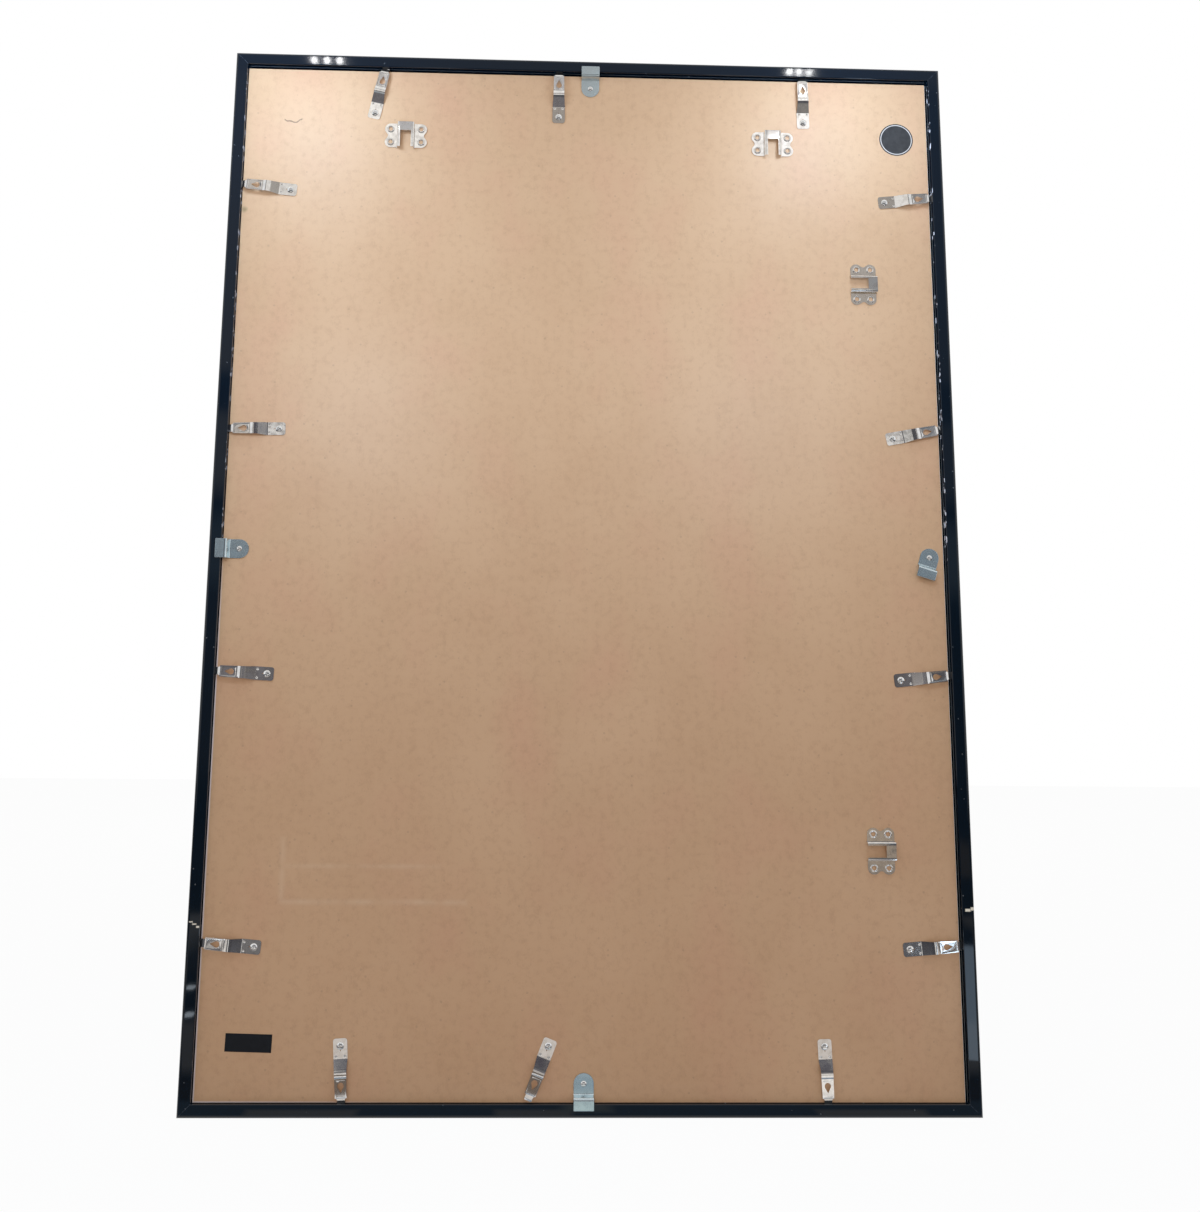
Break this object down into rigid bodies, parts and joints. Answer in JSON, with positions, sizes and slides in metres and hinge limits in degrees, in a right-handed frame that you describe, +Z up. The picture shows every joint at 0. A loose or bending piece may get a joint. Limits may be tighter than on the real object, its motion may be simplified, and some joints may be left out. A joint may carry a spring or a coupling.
{
  "type": "picture frame",
  "caption": "Back-opening picture frame with black rails, a brown backing board held by turning spring clips and turn buttons, and bridge hangers for both ways up.",
  "frame": {"origin": "middle of the line through the bars' lower edges of the two top hangers, in the plane of the rear rim that lies on the wall", "axes": "+Y out of the back towards the wall, +Z up as hung upright, +X to the left as seen from the back"},
  "size_m": [0.726, 0.0173, 1.026],
  "materials": {
    "rail_black": "glossy black foil",
    "key_plastic": "plain",
    "clear_sheet": "clear",
    "blank_paper": "matt, blank",
    "hardboard": "smooth brown hardboard",
    "nickel_steel": "bright nickel plate",
    "zinc_steel": "bluish zinc plate",
    "dark_label": "satin black, blank"
  },
  "bodies": {
    "frame": {"rail_top": "rail_black", "rail_bottom": "rail_black", "rail_left": "rail_black", "rail_right": "rail_black", "corner_keys": "key_plastic", "glazing": "clear_sheet", "picture_sheet": "blank_paper", "backing_board": "hardboard", "clip_rivets": "nickel_steel", "button_rivets": "zinc_steel", "hanger_top_left": "nickel_steel", "hanger_top_right": "nickel_steel", "hanger_side_upper": "nickel_steel", "hanger_side_lower": "nickel_steel", "hanger_eyelets": "nickel_steel", "round_label": "dark_label", "info_label": "dark_label"},
    "clip_top_1": {"clip_top_1": "nickel_steel"},
    "clip_top_2": {"clip_top_2": "nickel_steel"},
    "clip_top_3": {"clip_top_3": "nickel_steel"},
    "clip_left_1": {"clip_left_1": "nickel_steel"},
    "clip_left_2": {"clip_left_2": "nickel_steel"},
    "clip_left_3": {"clip_left_3": "nickel_steel"},
    "clip_left_4": {"clip_left_4": "nickel_steel"},
    "clip_bottom_1": {"clip_bottom_1": "nickel_steel"},
    "clip_bottom_2": {"clip_bottom_2": "nickel_steel"},
    "clip_bottom_3": {"clip_bottom_3": "nickel_steel"},
    "clip_right_1": {"clip_right_1": "nickel_steel"},
    "clip_right_2": {"clip_right_2": "nickel_steel"},
    "clip_right_3": {"clip_right_3": "nickel_steel"},
    "clip_right_4": {"clip_right_4": "nickel_steel"},
    "button_top": {"button_top": "zinc_steel"},
    "button_left": {"button_left": "zinc_steel"},
    "button_bottom": {"button_bottom": "zinc_steel"},
    "button_right": {"button_right": "zinc_steel"}
  },
  "joints": [
    {"name": "clip_top_1_turn", "type": "hinge", "parent": "frame", "child": "clip_top_1", "pos_m": [0.22041, -0.005, 0.0204], "axis": [0, 1, 0], "range_deg": [-78, 102]},
    {"name": "clip_top_2_turn", "type": "hinge", "parent": "frame", "child": "clip_top_2", "pos_m": [0.0324, -0.005, 0.0204], "axis": [0, 1, 0], "range_deg": [-18, 90]},
    {"name": "clip_top_3_turn", "type": "hinge", "parent": "frame", "child": "clip_top_3", "pos_m": [-0.22041, -0.005, 0.0204], "axis": [0, 1, 0], "range_deg": [-91, 89]},
    {"name": "clip_left_1_turn", "type": "hinge", "parent": "frame", "child": "clip_left_1", "pos_m": [0.3024, -0.005, -0.065], "axis": [0, 1, 0], "range_deg": [-85, 95]},
    {"name": "clip_left_2_turn", "type": "hinge", "parent": "frame", "child": "clip_left_2", "pos_m": [0.3024, -0.005, -0.31298], "axis": [0, 1, 0], "range_deg": [-91, 89]},
    {"name": "clip_left_3_turn", "type": "hinge", "parent": "frame", "child": "clip_left_3", "pos_m": [0.3024, -0.005, -0.55102], "axis": [0, 1, 0], "range_deg": [-87, 93]},
    {"name": "clip_left_4_turn", "type": "hinge", "parent": "frame", "child": "clip_left_4", "pos_m": [0.3024, -0.005, -0.799], "axis": [0, 1, 0], "range_deg": [-85, 95]},
    {"name": "clip_bottom_1_turn", "type": "hinge", "parent": "frame", "child": "clip_bottom_1", "pos_m": [0.22041, -0.005, -0.8844], "axis": [0, 1, 0], "range_deg": [-93.5, 86.5]},
    {"name": "clip_bottom_2_turn", "type": "hinge", "parent": "frame", "child": "clip_bottom_2", "pos_m": [0.0324, -0.005, -0.8844], "axis": [0, 1, 0], "range_deg": [-68.5, 39.5]},
    {"name": "clip_bottom_3_turn", "type": "hinge", "parent": "frame", "child": "clip_bottom_3", "pos_m": [-0.22041, -0.005, -0.8844], "axis": [0, 1, 0], "range_deg": [-92, 88]},
    {"name": "clip_right_1_turn", "type": "hinge", "parent": "frame", "child": "clip_right_1", "pos_m": [-0.3024, -0.005, -0.065], "axis": [0, 1, 0], "range_deg": [-95.5, 84.5]},
    {"name": "clip_right_2_turn", "type": "hinge", "parent": "frame", "child": "clip_right_2", "pos_m": [-0.3024, -0.005, -0.31298], "axis": [0, 1, 0], "range_deg": [-101, 79]},
    {"name": "clip_right_3_turn", "type": "hinge", "parent": "frame", "child": "clip_right_3", "pos_m": [-0.3024, -0.005, -0.55102], "axis": [0, 1, 0], "range_deg": [-96, 84]},
    {"name": "clip_right_4_turn", "type": "hinge", "parent": "frame", "child": "clip_right_4", "pos_m": [-0.3024, -0.005, -0.799], "axis": [0, 1, 0], "range_deg": [-95, 85]},
    {"name": "button_top_turn", "type": "hinge", "parent": "frame", "child": "button_top", "pos_m": [0, -0.005, 0.0526], "axis": [0, 1, 0], "continuous": true},
    {"name": "button_left_turn", "type": "hinge", "parent": "frame", "child": "button_left", "pos_m": [0.3346, -0.005, -0.432], "axis": [0, 1, 0], "continuous": true},
    {"name": "button_bottom_turn", "type": "hinge", "parent": "frame", "child": "button_bottom", "pos_m": [0, -0.005, -0.9166], "axis": [0, 1, 0], "continuous": true},
    {"name": "button_right_turn", "type": "hinge", "parent": "frame", "child": "button_right", "pos_m": [-0.3346, -0.005, -0.432], "axis": [0, 1, 0], "continuous": true}
  ]
}
